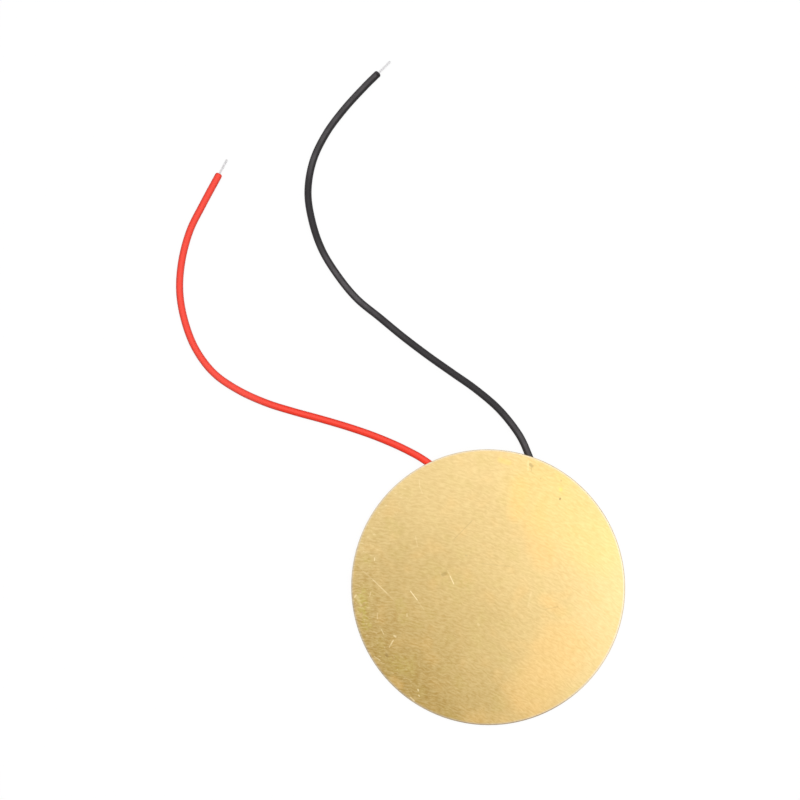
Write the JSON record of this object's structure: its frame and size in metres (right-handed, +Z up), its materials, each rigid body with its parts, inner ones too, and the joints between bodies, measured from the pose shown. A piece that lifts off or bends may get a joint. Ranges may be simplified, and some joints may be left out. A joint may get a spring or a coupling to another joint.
{
  "type": "piezo disc",
  "caption": "Round piezo disc of thin ceramic bonded to a brass plate, lying bare brass face up, with a red and a black soldered lead that end in short tinned tips.",
  "frame": {"origin": "on the surface that the part lies on, under the centre of the brass disc", "axes": "+Z up, out of the bare brass face; +Y towards the side where both leads leave; +X to the right of that, seen from above. The disc lies tilted 1.96 degrees about X, as its solder joints make it lie."},
  "size_m": [0.0447, 0.0655, 0.0013],
  "materials": {
    "brass": "bare rolled sheet, lightly tarnished",
    "bond": "clear amber epoxy",
    "silver": "matt fired silver",
    "piezo_ceramic": "fine matt",
    "solder": "bright, slightly grainy",
    "tinned_copper": "bright tinned",
    "red_insulation": "smooth extruded vinyl",
    "black_insulation": "smooth extruded vinyl"
  },
  "bodies": {
    "root": {"brass_plate": "brass", "bond_film": "bond", "back_electrode": "silver", "ceramic_disc": "piezo_ceramic", "front_electrode": "silver", "ceramic_joint_solder": "solder", "brass_joint_solder": "solder", "red_joint_strands": "tinned_copper", "black_joint_strands": "tinned_copper", "red_insulation": "red_insulation", "black_insulation": "black_insulation", "red_tip": "tinned_copper", "black_tip": "tinned_copper"}
  },
  "joints": []
}
